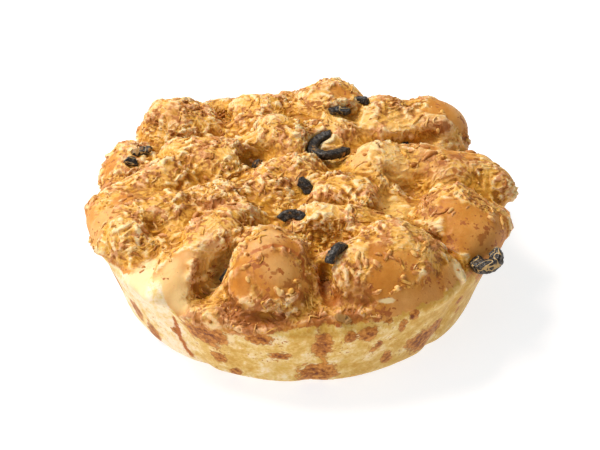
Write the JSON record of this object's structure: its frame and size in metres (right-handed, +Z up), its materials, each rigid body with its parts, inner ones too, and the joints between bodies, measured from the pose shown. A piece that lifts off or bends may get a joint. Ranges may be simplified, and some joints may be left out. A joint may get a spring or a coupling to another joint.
{
  "type": "pull-apart bread",
  "caption": "Round tin-baked pull-apart loaf with an uneven crown of dough pieces under baked cheese and black olive slices.",
  "frame": {"origin": "on the table, under the middle of the loaf", "axes": "+Z up through the crown; -Y towards the side with the round dough ball and the smooth face beside it"},
  "size_m": [0.196, 0.1864, 0.064],
  "materials": {
    "loaf": "baked crust, dry, with a slight sheen on its cheese",
    "olive": "baked black olive, dull gloss"
  },
  "bodies": {
    "root": {"loaf": "loaf", "olive_centre_ring": "olive", "olive_centre_block": "olive", "olive_pit_left": "olive", "olive_pit_front": "olive", "olive_back_left": "olive", "olive_back_right": "olive", "olive_left_grey": "olive", "olive_left_end": "olive", "olive_right_crescent": "olive", "olive_hollow_left": "olive", "olive_fold_chip": "olive", "olive_right_edge": "olive", "olive_front_grey": "olive", "olive_back_edge": "olive", "olive_right_back": "olive", "olive_left_back": "olive"}
  },
  "joints": []
}
